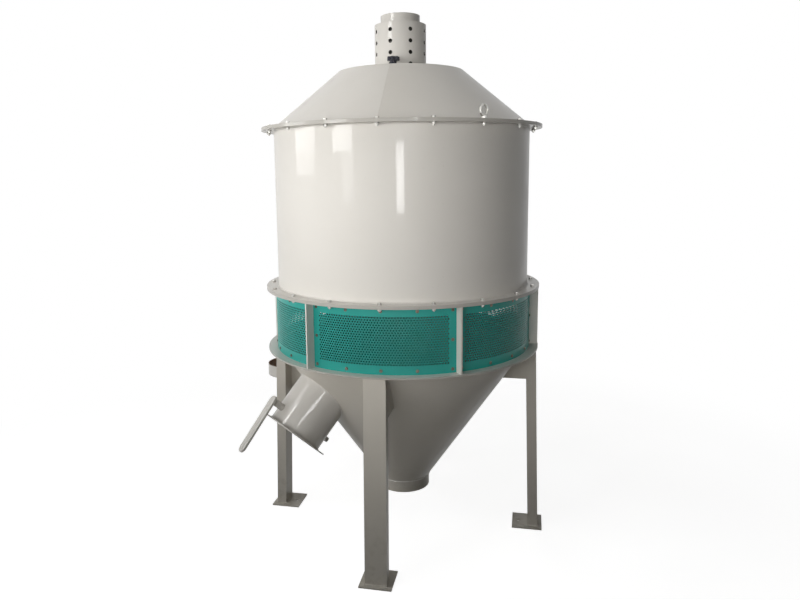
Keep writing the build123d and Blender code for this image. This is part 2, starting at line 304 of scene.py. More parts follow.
@dataclass(frozen=True)
class Paint:
    """Sprayed and baked gloss paint on rolled sheet."""

    name: str
    colour: Colour
    shade: Colour
    dust: Colour
    roughness: float = 0.42
    gloss: float = 0.30
    peel: float = 0.00003
    sheet_wave: float = 0.0012
    edge_radius: float = 0.0012
    edge_colour: Colour = (0.50, 0.47, 0.40, 1.0)
    inside: Inside | None = None
    bare_below: float | None = None
    seam: float | None = None
    rim: float | None = None
    rim_colour: Colour = (0.40, 0.385, 0.35, 1.0)

    def material(self) -> Material:
        """Builds the paint's material."""
        bench = ShaderBench(self.name)
        cloudy = bench.spread(bench.noise(2.4, 4.0, 0.6), 0.35, 0.70)
        colour = bench.mix(cloudy, self.colour, self.shade)
        low_down = bench.spread(bench.axis("Z"), 0.35, 0.0, 0.0, 0.5)
        grit = bench.spread(bench.noise(38.0, 5.0, 0.65), 0.45, 0.72)
        colour = bench.mix(low_down * grit, colour, self.dust)
        specks = bench.spread(bench.noise(150.0, 1.0, 0.4), 0.735, 0.80, 0.0, 0.18)
        colour = bench.mix(specks, colour, self.dust)
        # Painted shade just past the roof seam, kept to the front.
        if self.seam is not None:
            colour = bench.mix(self.dip(bench, self.seam), colour, self.dust)
        if self.rim is not None:
            cut = bench.distance_from((0.0, 0.0)) > self.rim
            colour = bench.mix(cut * 0.85, colour, self.rim_colour)
        smear = bench.noise(9.0, 4.0, 0.6)
        rough = bench.spread(smear, 0.3, 0.75, self.roughness - 0.04, self.roughness + 0.08)
        if self.edge_radius > 0.0:
            worn = bench.edges(self.edge_radius) * bench.spread(bench.noise(30.0), 0.35, 0.6)
            colour = bench.mix(worn * 0.45, colour, self.edge_colour)
        # Inner faces take the inner colour, mostly painted shade of the unlit inside; below a given height
        # the outside takes it too, as painted shade.
        if self.inside is not None:
            wall = bench.axis("Z") * self.inside.slope + self.inside.base
            within = bench.distance_from(self.inside.centre) < wall
            if self.bare_below is not None:
                within = within.step("MAXIMUM", bench.axis("Z") < self.bare_below)
            smudge = bench.spread(bench.noise(14.0, 5.0, 0.7), 0.3, 0.7)
            inner_colour_and_shade = bench.mix(smudge, self.inside.colour, self.dust)
            inner_colour_and_shade = bench.mix(0.8, inner_colour_and_shade, self.inside.colour)
            colour = bench.mix(within, colour, inner_colour_and_shade)
            rough = rough.step("ADD", within * 0.3, clamp=True)
        wave = bench.bump(bench.noise(3.2, 1.0, 0.4), self.sheet_wave, 0.5)
        peel = bench.bump(bench.noise(260.0, 2.0, 0.5), self.peel, 0.6, wave)
        bench.set(Base_Color=colour, Roughness=rough, Normal=peel)
        bench.set(Coat_Weight=self.gloss, Coat_Roughness=0.05, IOR=1.45)
        bench.set(Specular_IOR_Level=0.15)
        return bench.material

    def dip(self, bench: ShaderBench, azimuth: float) -> Number:
        """Painted shade just past a front seam, standing for the light change where the sheet's edge dips,
        fading along the sheet and kept to the front.
        """
        past = bench.axis("X") + bench.axis("Y") * math.tan(math.radians(azimuth))
        fade = bench.spread(past, 0.20, 0.0) * (past > 0.0)
        return fade * bench.spread(bench.axis("Y"), -0.05, -0.12) * 0.22


@dataclass(frozen=True)
class Plating:
    """Zinc plated steel: dull patches, fine scratches."""

    name: str
    colour: Colour = (0.55, 0.545, 0.52, 1.0)
    shade: Colour = (0.30, 0.285, 0.25, 1.0)
    roughness: float = 0.32

    def material(self) -> Material:
        """Builds the plating's material."""
        bench = ShaderBench(self.name)
        patches = bench.spread(bench.noise(120.0, 4.0, 0.6), 0.4, 0.68)
        colour = bench.mix(patches, self.colour, self.shade)
        dull = bench.noise(90.0, 3.0, 0.5)
        rough = bench.spread(dull, 0.3, 0.7, self.roughness - 0.08, self.roughness + 0.15)
        scratch = bench.bump(bench.noise(900.0, 2.0, 0.5, (1.0, 1.0, 0.2)), 0.00003, 0.5)
        bench.set(Base_Color=colour, Metallic=0.9, Roughness=rough, Normal=scratch)
        return bench.material


@dataclass(frozen=True)
class Moulding:
    """Black moulded plastic with a faint blue cast and a fine grain."""

    name: str
    colour: Colour = (0.012, 0.013, 0.022, 1.0)
    worn: Colour = (0.03, 0.032, 0.045, 1.0)

    def material(self) -> Material:
        """Builds the moulding's material."""
        bench = ShaderBench(self.name)
        rubbed = bench.edges(0.0015) * bench.spread(bench.noise(160.0), 0.35, 0.6)
        colour = bench.mix(rubbed, self.colour, self.worn)
        rough = bench.spread(bench.noise(200.0, 3.0), 0.3, 0.7, 0.22, 0.34)
        grain = bench.bump(bench.noise(2200.0, 1.0, 0.5), 0.00004, 0.6)
        bench.set(Base_Color=colour, Roughness=rough, Normal=grain, Specular_IOR_Level=0.25)
        return bench.material


@dataclass(frozen=True)
class Finishes:
    """Every material of the separator."""

    grey: Colour = (0.665, 0.645, 0.605, 1.0)
    grey_shade: Colour = (0.645, 0.624, 0.583, 1.0)
    grey_dust: Colour = (0.42, 0.39, 0.33, 1.0)
    green: Colour = (0.024, 0.345, 0.300, 1.0)
    green_shade: Colour = (0.019, 0.305, 0.265, 1.0)
    green_dust: Colour = (0.16, 0.40, 0.35, 1.0)
    primer: Colour = (0.20, 0.115, 0.065, 1.0)
    # Grey for the cone and the stand, darker and warmer than the rest as painted shade.
    low_grey: Colour = (0.600, 0.572, 0.515, 1.0)
    low_shade: Colour = (0.580, 0.550, 0.490, 1.0)

    def paint(self, name: str, inside: Inside | None = None, wave: float = 0.0012,
              bare_below: float | None = None, seam: float | None = None,
              rim: float | None = None) -> Material:
        """Light grey gloss paint, where given with a bare inner face darkened as painted shade, a darker rim,
        painted shade past a seam and painted shade below a height.
        """
        paint = Paint(name, self.grey, self.grey_shade, self.grey_dust, sheet_wave=wave, inside=inside,
                      bare_below=bare_below, seam=seam, rim=rim)
        return paint.material()

    def low_paint(self, name: str, inside: Inside | None = None, wave: float = 0.0012) -> Material:
        """The duller grey paint of the cone and the stand, its colour darkened and warmed as painted shade.
        """
        paint = Paint(name, self.low_grey, self.low_shade, self.grey_dust, gloss=DULL,
                      sheet_wave=wave, inside=inside)
        return paint.material()

    def screws(self) -> Material:
        """Dulled plating of the small screws."""
        return Plating("screw_plate", (0.19, 0.178, 0.145, 1.0), (0.10, 0.092, 0.070, 1.0), 0.42).material()

    def screen(self, face: float) -> Material:
        """Green satin paint of the perforated sheets, with near-black painted shade behind their face and in
        their holes.
        """
        paint = Paint("green_screen_paint", self.green, self.green_shade, self.green_dust, gloss=0.22,
                      sheet_wave=0.0008, edge_radius=0.0, inside=Inside(face - 0.0008, colour=PAINTED_SHADE_BLACK))
        return paint.material()


class MeshBench:
    """Mesh making in bmesh: turned, extruded and swept shapes."""

    @staticmethod
    def turned(profile: Sequence[Pair], segments: int, closed: bool = True) -> Shape:
        """Solid of revolution about Z.

        Args:
            profile: Radius and height pairs, anticlockwise when drawn with radius to the right.
            segments: Steps round the axis.
            closed: Whether the profile's last point joins its first.

        Returns:
            The mesh, its faces pointing outwards.
        """
        mesh = bmesh.new()
        rings: list[list[bmesh.types.BMVert]] = []
        for radius, height in profile:
            if radius < 1e-9:
                rings.append([mesh.verts.new((0.0, 0.0, height))] * segments)
                continue
            turns = (math.tau * step / segments for step in range(segments))
            rings.append([mesh.verts.new((*polar(radius, turn), height)) for turn in turns])
        pairs = list(zip(rings, rings[1:] + rings[:1])) if closed else list(zip(rings, rings[1:]))
        for lower, upper in pairs:
            for step in range(segments):
                after = (step + 1) % segments
                corners = [lower[step], lower[after], upper[after], upper[step]]
                unique = list(dict.fromkeys(corners))
                if len(unique) > 2:
                    mesh.faces.new(unique)
        bmesh.ops.recalc_face_normals(mesh, faces=mesh.faces)
        return mesh

    @staticmethod
    def prism(outline: Sequence[Pair], low: float, high: float) -> Shape:
        """Upright prism on a flat outline."""
        mesh = bmesh.new()
        base = [mesh.verts.new((x, y, low)) for x, y in outline]
        crown = [mesh.verts.new((x, y, high)) for x, y in outline]
        mesh.faces.new(base)
        mesh.faces.new(crown)
        for index in range(len(base)):
            after = (index + 1) % len(base)
            mesh.faces.new((base[index], base[after], crown[after], crown[index]))
        bmesh.ops.recalc_face_normals(mesh, faces=mesh.faces)
        return mesh

    @staticmethod
    def joined(parts: Sequence[Shape]) -> Shape:
        """One mesh of several, which are freed."""
        whole = bmesh.new()
        for part in parts:
            holder = plain("part", part)
            whole.from_mesh(holder)
            bpy.data.meshes.remove(holder)
        return whole

    @staticmethod
    def moved(mesh: Shape, matrix: Matrix) -> Shape:
        """The same mesh after a move."""
        bmesh.ops.transform(mesh, matrix=matrix, verts=mesh.verts)
        return mesh

    @staticmethod
    def eased(mesh: Shape, width: float, steps: int = 2, angle: float = 35.0) -> Shape:
        """The same mesh with its sharp edges rounded."""
        sharp = [edge for edge in mesh.edges if edge.calc_face_angle(0.0) > math.radians(angle)]
        bmesh.ops.bevel(
            mesh, geom=sharp, offset=width, segments=steps, profile=0.6, affect="EDGES", clamp_overlap=True)
        return mesh

    @staticmethod
    def hexagon(across_flats: float) -> list[Pair]:
        """Corners of a hexagon."""
        return [polar(across_flats / math.sqrt(3.0), math.radians(60 * k)) for k in range(6)]


class NodePlan:
    """A Geometry Nodes tree with named inputs, evaluated to a plain mesh."""

    def __init__(self, name: str) -> None:
        """Starts a tree with a geometry input and output."""
        self.tree = bpy.data.node_groups.new(name, "GeometryNodeTree")
        for way in ("INPUT", "OUTPUT"):
            self.tree.interface.new_socket(name="Geometry", in_out=way, socket_type="NodeSocketGeometry")
        self.given = self.node("NodeGroupInput")
        self.result = self.node("NodeGroupOutput")

    def takes(self, kind: str, *names: str) -> list[Number]:
        """Adds named inputs of one kind, such as Float."""
        for name in names:
            self.tree.interface.new_socket(name=name, in_out="INPUT", socket_type="NodeSocket" + kind)
        return [Number(self.tree, self.given.outputs[name]) for name in names]

    def node(self, kind: str, inputs: Inputs | None = None, **settings: object) -> bpy.types.Node:
        """Adds a node."""
        return add_node(self.tree, kind, inputs, **settings)

    def out(self, kind: str, inputs: Inputs | None = None, **settings: object) -> Number:
        """Adds a node and gives its first output."""
        return Number(self.tree, self.node(kind, inputs, **settings).outputs[0])

    def moved(self, geometry: object, position: object) -> Number:
        """Geometry with its points set to a position."""
        return self.out("GeometryNodeSetPosition", {"Geometry": geometry, "Position": position})

    def joined(self, *parts: object) -> Number:
        """Several geometries in one, the last part first."""
        gathered = self.node("GeometryNodeJoinGeometry")
        for part in parts:
            feed(self.tree, gathered.inputs[0], part)
        return Number(self.tree, gathered.outputs[0])

    def vector(self, x: object = 0.0, y: object = 0.0, z: object = 0.0) -> Number:
        """Vector of three values."""
        return self.out("ShaderNodeCombineXYZ", {0: x, 1: y, 2: z})

    def circle(self, radius: object, sides: object) -> Number:
        """Curve circle."""
        inputs = {"Resolution": sides, "Radius": radius}
        return self.out("GeometryNodeCurvePrimitiveCircle", inputs, mode="RADIUS")

    def finish(self, geometry: object, material: object) -> None:
        """Ends the tree with realized instances and the material."""
        solid = self.out("GeometryNodeRealizeInstances", {"Geometry": geometry})
        painted = self.out("GeometryNodeSetMaterial", {"Geometry": solid, "Material": material})
        feed(self.tree, self.result.inputs[0], painted)

    def grow(self, base: Mesh | None, values: dict[str, object]) -> Mesh:
        """Evaluates the tree.

        Args:
            base: The mesh that the tree starts from, or None.
            values: The named inputs.

        Returns:
            A plain mesh.
        """
        start = base or bpy.data.meshes.new("empty")
        holder = put("holder", start)
        modifier = holder.modifiers.new("plan", "NODES")
        modifier.node_group = self.tree
        inputs = (item for item in self.tree.interface.items_tree if item.in_out == "INPUT")
        sockets = {item.name: item.identifier for item in inputs}
        for name, value in values.items():
            modifier[sockets[name]] = value
        bpy.context.view_layer.update()
        graph = bpy.context.evaluated_depsgraph_get()
        mesh = bpy.data.meshes.new_from_object(holder.evaluated_get(graph), depsgraph=graph)
        holder.modifiers.remove(modifier)
        bpy.data.objects.remove(holder)
        bpy.data.meshes.remove(start)
        return mesh


@dataclass(frozen=True)
class RingPlan:
    """Evenly spaced groups on a circle; angles in degrees, each copy turned by chance up to a spin."""

    radius: float
    height: float
    groups: int
    group_step: float
    start: float = 0.0
    per_group: int = 1
    step: float = 0.0
    seed: int = 7
    spin_axis: SpinAxis = SpinAxis.UPRIGHT
    spin: float = math.tau

    def inputs(self) -> dict[str, object]:
        """The tree's named inputs."""
        values = {name.replace("_", " ").title(): value for name, value in vars(self).items()}
        return {**values, "Spin Axis": self.spin_axis.value}


class FastenerRing(NodePlan):
    """Copies of one fastener on a circle round the vessel, in evenly spaced groups."""

    def __init__(self) -> None:
        """Builds the tree."""
        super().__init__("fastener ring")
        (pattern,) = self.takes("Object", "Pattern")
        groups, per_group, seed = self.takes("Int", "Groups", "Per Group", "Seed")
        group_step, step, start = self.takes("Float", "Group Step", "Step", "Start")
        radius, height, spin = self.takes("Float", "Radius", "Height", "Spin")
        (spin_axis,) = self.takes("Vector", "Spin Axis")
        (material,) = self.takes("Material", "Material")
        points = self.out("GeometryNodePoints", {"Count": groups * per_group})
        index = self.out("GeometryNodeInputIndex")
        group = ((index + 0.5) / per_group).step("FLOOR")
        place = index - group * per_group
        middle = (per_group - 1.0) / 2.0
        turn = ((place - middle) * step + group * group_step + start).step("RADIANS")
        stands = self.vector(turn.step("SINE") * radius, turn.step("COSINE") * (radius * -1.0), height)
        placed = self.moved(points, stands)
        source = self.node("GeometryNodeObjectInfo", {"Object": pattern, "As Instance": False})
        chance = self.node("FunctionNodeRandomValue", {"ID": index, "Seed": seed}, data_type="FLOAT")
        twist = Number(self.tree, chance.outputs[1]) * spin
        own = self.out("FunctionNodeAxisAngleToRotation", {"Axis": spin_axis, "Angle": twist})
        round_z = self.out("FunctionNodeAxisAngleToRotation", {"Axis": (0.0, 0.0, 1.0), "Angle": turn})
        facing = self.out("FunctionNodeRotateRotation", {0: round_z, 1: own}, rotation_space="LOCAL")
        copies = self.out("GeometryNodeInstanceOnPoints", {
            "Points": placed, "Instance": source.outputs["Geometry"], "Rotation": facing,
        })
        self.finish(copies, material)

    def ring(self, pattern: Shape, material: Material, plan: RingPlan) -> Mesh:
        """Places a fastener that is drawn at the origin, facing -Y or up.

        Args:
            pattern: The fastener.
            material: Its finish.
            plan: Where the copies stand.

        Returns:
            All the copies as one plain mesh.
        """
        drawn = plain("pattern", pattern)
        model = put("pattern", drawn)
        mesh = self.grow(None, {"Pattern": model, "Material": material, **plan.inputs()})
        bpy.data.objects.remove(model)
        bpy.data.meshes.remove(drawn)
        return mesh


class PerforatedSheet(NodePlan):
    """A curved sheet with staggered round holes and a plain border, made of cells that share corners."""

    weld_distance = 1e-5

    def __init__(self) -> None:
        """Builds the tree."""
        super().__init__("perforated sheet")
        columns, rows, hole_sides = self.takes("Int", "Columns", "Rows", "Hole Sides")
        pitch, row_pitch, border = self.takes("Float", "Pitch", "Row Pitch", "Border Height")
        field_half, hole = self.takes("Float", "Field Half Width", "Hole Radius")
        radius, thickness = self.takes("Float", "Radius", "Thickness")
        base, azimuth = self.takes("Float", "Base Height", "Azimuth")
        (material,) = self.takes("Material", "Material")

        points = self.out("GeometryNodePoints", {"Count": columns * (rows + 2.0)})
        index = self.out("GeometryNodeInputIndex")
        row = ((index + 0.5) / columns).step("FLOOR")
        column = index - row * columns
        odd = row.step("MODULO", 2.0)
        x = (column - (columns - 1.0) / 2.0 + odd * 0.5) * pitch
        kept = 1.0 - (column + 1.5 > columns) * odd
        bottom_row, top_row = row < 0.5, row > rows + 0.5
        plain_row = bottom_row + top_row
        half_border = border * 0.5
        inner_y = border + (row - 0.5) * row_pitch
        top_y = border + half_border + rows * row_pitch
        y = inner_y * (1.0 - plain_row) + bottom_row * half_border + top_row * top_y
        placed = self.moved(points, self.vector(x, y))
        holed = (x.step("ABSOLUTE") < field_half) * (1.0 - plain_row)
        tall = self.vector(1.0, plain_row * (border / row_pitch - 1.0) + 1.0, 1.0)

        holed_cell, plain_cell = self.cell(pitch, row_pitch, hole, hole_sides), self.cell(pitch, row_pitch)
        half_cell = self.out("GeometryNodeMeshGrid", {
            "Size X": pitch * 0.5, "Size Y": row_pitch, "Vertices X": 2, "Vertices Y": 2,
        })
        edge = pitch * (columns * 0.5 - 0.25)
        first = (column < 0.5) * odd
        layouts = [(placed, holed_cell, holed * kept), (placed, plain_cell, (1.0 - holed) * kept)]
        for side in (-1.0, 1.0):
            layouts.append((self.moved(placed, self.vector(edge * side, y)), half_cell, first))
        sheets = [
            self.out("GeometryNodeInstanceOnPoints", {
                "Points": where, "Selection": chosen, "Instance": cell, "Scale": tall,
            })
            for where, cell, chosen in layouts
        ]
        real = self.out("GeometryNodeRealizeInstances", {"Geometry": self.joined(*reversed(sheets))})
        flat = self.out("GeometryNodeMergeByDistance", {"Geometry": real, "Distance": self.weld_distance})

        parted = self.node("ShaderNodeSeparateXYZ", {0: self.out("GeometryNodeInputPosition")})
        flat_x, flat_y = (Number(self.tree, parted.outputs[place]) for place in (0, 1))
        turn = flat_x / radius + azimuth.step("RADIANS")
        bent = self.moved(flat, self.vector(
            turn.step("SINE") * radius, turn.step("COSINE") * (radius * -1.0), flat_y + base))
        walls = self.out("GeometryNodeExtrudeMesh", {
            "Mesh": bent, "Offset Scale": thickness, "Individual": False,
        }, mode="FACES")
        both = self.joined(self.out("GeometryNodeFlipFaces", {"Mesh": bent}), walls)
        closed = self.out("GeometryNodeMergeByDistance", {"Geometry": both, "Distance": self.weld_distance})
        self.finish(closed, material)

    def cell(self, pitch: Number, row_pitch: Number, hole: Number | None = None,
             sides: Number | None = None) -> Number:
        """One cell, flat, with a middle corner in its long edges, and a hole where a radius is given."""
        half_x, half_y = pitch * 0.5, row_pitch * 0.5
        corners = [(-1, -1), (0, -1), (1, -1), (1, 1), (0, 1), (-1, 1)]
        index = self.out("GeometryNodeInputIndex")
        x = y = index * 0.0
        for number, (right, up) in enumerate(corners):
            here = index.step("COMPARE", float(number), 0.1)
            x, y = x + here * (half_x * float(right)), y + here * (half_y * float(up))
        shaped = self.moved(self.circle(0.01, len(corners)), self.vector(x, y))
        if hole is not None:
            shaped = self.joined(self.circle(hole, sides), shaped)
        return self.out("GeometryNodeFillCurve", {"Curve": shaped})


class WeldBead(NodePlan):
    """A rippled bead that follows a line of points."""

    sides = 6

    def __init__(self) -> None:
        """Builds the tree."""
        super().__init__("weld bead")
        radius, ripple, seed = self.takes("Float", "Radius", "Ripple", "Seed")
        (sides,) = self.takes("Int", "Sides")
        (material,) = self.takes("Material", "Material")
        path = self.out("GeometryNodeMeshToCurve", {"Mesh": self.given.outputs["Geometry"]})
        tube = self.out("GeometryNodeCurveToMesh", {
            "Curve": path, "Profile Curve": self.circle(radius, sides), "Fill Caps": True,
        })
        noise = {"Scale": 220.0, "Detail": 1.0, "W": seed}
        lift = (self.out("ShaderNodeTexNoise", noise, noise_dimensions="4D") - 0.5) * ripple
        normal = {0: self.out("GeometryNodeInputNormal"), "Scale": lift}
        push = self.out("ShaderNodeVectorMath", normal, operation="SCALE")
        rippled = self.out("GeometryNodeSetPosition", {"Geometry": tube, "Offset": push})
        self.finish(rippled, material)

    def bead(self, lines: Sequence[WeldLine], radius: float, ripple: float, seed: float,
             material: Material) -> Mesh:
        """Lays beads along lines.

        Args:
            lines: Point rows, each with whether it closes on itself.
            radius: Bead radius in metres.
            ripple: Height of the ripples.
            seed: Place in the ripple noise.
            material: Finish.

        Returns:
            A plain mesh of all the beads.
        """
        base = bpy.data.meshes.new("weld lines")
        points: list[Point] = []
        edges: list[tuple[int, int]] = []
        for line, closes in lines:
            first = len(points)
            points.extend(tuple(point) for point in line)
            edges.extend((first + k, first + k + 1) for k in range(len(line) - 1))
            if closes:
                edges.append((first + len(line) - 1, first))
        base.from_pydata(points, edges, [])
        return self.grow(base, {
            "Radius": radius, "Ripple": ripple, "Sides": self.sides, "Seed": seed, "Material": material,
        })


class Workshop:
    """Turns meshes into pieces of the part, and reports them."""

    def __init__(self) -> None:
        """Starts with no pieces."""
        self.count = 0
        self.welds = WeldBead()

    def weld(self, name: str, lines: Sequence[WeldLine], radius: float, ripple: float, seed: float,
             material: Material) -> None:
        """Adds weld beads as one piece."""
        self.add(name, self.welds.bead(lines, radius, ripple, seed, material), material)

    def add(self, name: str, mesh: Mesh | Shape, material: Material, slot: Slot = Slot.GREY,
            body: str = FIXED_BODY, stands_for: Sequence[str] = (), crease: float = 35.0) -> bpy.types.Object:
        """Adds one piece.

        Args:
            name: The piece's name.
            mesh: Its mesh, in place.
            material: Its finish.
            slot: The record's slot for it; not used.
            body: The body that it rides on.
            stands_for: CAD nodes that it replaces.
            crease: Angle in degrees above which an edge stays sharp.

        Returns:
            The piece.
        """
        if isinstance(mesh, Shape):
            mesh = plain(name, mesh)
        mesh.name = name
        mesh.materials.clear()
        mesh.materials.append(material)
        for face in mesh.polygons:
            face.use_smooth = True
            face.material_index = 0
        mesh.set_sharp_from_angle(angle=math.radians(crease))
        piece = put(name, mesh)
        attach(piece, body)
        if stands_for:
            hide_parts(*stands_for)
        self.count += 1
        LOG.info("piece %s: %d faces on %s", name, len(mesh.polygons), body)
        return piece

    def dress(self, names: Sequence[str], material: Material, slot: Slot = Slot.GREY) -> None:
        """Gives CAD nodes their finish."""
        for name in names:
            node = NODES[name]
            node.data.materials.clear()
            node.data.materials.append(material)
            LOG.info("node %s: %s", name, material.name)


def circle_line(radius: float, height: float, spacing: float = 0.006) -> list[Vector]:
    """Points round the vessel's centre line."""
    count = max(24, int(math.tau * radius / spacing))
    return [spot(360.0 * k / count, radius, height) for k in range(count)]


def straight_line(start: Vector, end: Vector, spacing: float = 0.005) -> list[Vector]:
    """Points from one place to another."""
    count = max(2, int((end - start).length / spacing))
    return [start.lerp(end, k / count) for k in range(count + 1)]


@dataclass
class Fasteners:
    """The patterns of the bolts, nuts and screws, each drawn at the origin."""

    bolt_size: float = 0.008
    head_flats: float = 0.013
    head_height: float = 0.0053
    washer_radius: float = 0.008
    washer_height: float = 0.0016
    nut_height: float = 0.0068
    stud_below: float = 0.004
    screw_head_radius: float = 0.0048
    screw_head_height: float = 0.0030
    screw_washer_radius: float = 0.0062
    screw_washer_height: float = 0.0008
    slot_length: float = 0.0056
    slot_width: float = 0.0010

    def washer(self, low: float) -> Shape:
        """Plain washer standing on a height."""
        high = low + self.washer_height
        profile = [(self.bolt_size / 2, low), (self.washer_radius, low), (self.washer_radius, high),
                   (self.bolt_size / 2, high)]
        return MeshBench.eased(MeshBench.turned(profile, 20), 0.0003, 1)

    def hexagon(self, low: float, height: float) -> Shape:
        """Chamfered hexagon standing on a height."""
        mesh = MeshBench.prism(MeshBench.hexagon(self.head_flats), low, low + height)
        return MeshBench.eased(mesh, 0.0007, 2)

    def head(self) -> Shape:
        """Bolt head with its washer, standing on height 0."""
        return MeshBench.joined([self.washer(0.0), self.hexagon(self.washer_height, self.head_height)])

    def nut(self) -> Shape:
        """Nut with its washer and the stud's end, hanging from height 0."""
        low = -self.washer_height - self.nut_height
        end = low - self.stud_below
        profile = [(0.0, end), (self.bolt_size / 2 - 0.0012, end), (self.bolt_size / 2, end + 0.0015),
                   (self.bolt_size / 2, low + 0.001), (0.0, low + 0.001)]
        stud = MeshBench.turned(profile, 14, closed=False)
        return MeshBench.joined([self.washer(-self.washer_height), self.hexagon(low, self.nut_height), stud])

    def screw(self) -> Shape:
        """Pan head screw with a washer and a cross slot, facing -Y."""
        rim = self.screw_washer_height
        top = rim + self.screw_head_height
        washer_r = self.screw_washer_radius
        head_r = self.screw_head_radius
        profile = [(0.0, 0.0), (washer_r, 0.0), (washer_r, rim), (head_r, rim), (head_r * 0.98, rim + 0.0012),
                   (head_r * 0.82, top - 0.0006), (head_r * 0.45, top), (0.0, top)]
        mesh = MeshBench.turned(profile, 18, closed=False)
        half, thin = self.slot_length / 2, self.slot_width / 2
        outline = [(-half, -thin), (half, -thin), (half, thin), (-half, thin)]
        slots = []
        for turn in (0.0, 90.0):
            bar = MeshBench.prism(outline, top - 0.0003, top + 0.0002)
            slots.append(MeshBench.moved(bar, Matrix.Rotation(math.radians(turn), 4, "Z")))
        whole = MeshBench.joined([mesh, *slots])
        return MeshBench.moved(whole, Matrix.Rotation(math.radians(90.0), 4, "X"))


@dataclass
class AirRing:
    """The perforated screens between the lower and the middle rings, with their screws."""

    shop: Workshop
    sheet: PerforatedSheet
    fasteners: FastenerRing
    patterns: Fasteners
    panels: tuple[str, ...] = ("front", "front_right", "back_right", "back", "back_left", "front_left")
    columns: int = 53
    rows: int = 20
    field_columns: int = 47
    row_pitch: float = 0.00866
    hole_radius: float = 0.0034
    hole_sides: int = 10
    edge_gap: float = 0.0033
    screw_step: float = 14.05
    screw_inset: float = 0.0135

    def build(self, paint: Material, zinc: Material) -> None:
        """Builds the six screens and their screws."""
        low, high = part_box("screen_front")
        radius = -low.y
        sheet_back = radius - 0.002
        step = 360.0 / len(self.panels)
        width = math.radians(step) * sheet_back - 2 * self.edge_gap
        pitch = width / self.columns
        border = (high.z - low.z - self.rows * self.row_pitch) / 2
        for number, panel in enumerate(self.panels):
            mesh = self.sheet.grow(None, {
                "Columns": self.columns, "Rows": self.rows, "Pitch": pitch, "Row Pitch": self.row_pitch,
                "Border Height": border, "Field Half Width": pitch * (self.field_columns / 2 + 0.1),
                "Hole Radius": self.hole_radius, "Hole Sides": self.hole_sides, "Radius": sheet_back,
                "Thickness": radius - sheet_back, "Base Height": low.z, "Azimuth": number * step + BAR_SHIFT,
                "Material": paint,
            })
            self.shop.add(f"perforated_screen_{panel}", mesh, paint, Slot.GREEN,
                          stands_for=[f"screen_{panel}"], crease=50.0)
        rows = (
            ("low", low.z + self.screw_inset, 5, self.screw_step, 11),
            ("high", high.z - self.screw_inset, 5, self.screw_step, 11),
            ("side", (low.z + high.z) / 2, 2, 4 * self.screw_step, 12),
        )
        for name, height, count, apart, seed in rows:
            plan = RingPlan(radius, height, len(self.panels), step, BAR_SHIFT, count, apart, seed,
                            SpinAxis.OUTWARD)
            mesh = self.fasteners.ring(self.patterns.screw(), zinc, plan)
            self.shop.add(f"screen_screws_{name}", mesh, zinc, Slot.ZINC)


@dataclass
class RingJoints:
    """Bolts, washers and nuts of the two bolted ring joints."""

    shop: Workshop
    fasteners: FastenerRing
    patterns: Fasteners
    count: int = 18
    bolt_radius: float = 0.5285
    eye_azimuth: float = 42.0

    def build(self, zinc: Material) -> None:
        """Bolts the middle and the top joint."""
        step = 360.0 / self.count
        middle = (self.count, step, BAR_SHIFT)
        top = (2, 180.0, self.eye_azimuth + 90.0, self.count // 2 - 1, step)
        joints = (
            ("middle_joint", top_of("middle_ring_over"), bottom_of("middle_ring_under"), middle, 21),
            ("top_joint", top_of("top_ring_over"), bottom_of("top_ring_under"), top, 31),
        )
        for name, upper, lower, layout, seed in joints:
            self.fasten(f"{name}_bolt_heads", self.patterns.head(), upper, layout, seed, zinc)
            self.fasten(f"{name}_nuts", self.patterns.nut(), lower, layout, seed + 1, zinc)
        eyes = (2, 180.0, self.eye_azimuth)
        self.fasten("lifting_eye_nuts", self.patterns.nut(), bottom_of("top_ring_under"), eyes, 41, zinc)

    def fasten(self, name: str, pattern: Shape, height: float, layout: Sequence[float], seed: int,
               zinc: Material) -> None:
        """Adds one circle of bolt heads or nuts."""
        plan = replace(RingPlan(self.bolt_radius, height, *layout), seed=seed)
        self.shop.add(name, self.fasteners.ring(pattern, zinc, plan), zinc, Slot.ZINC)


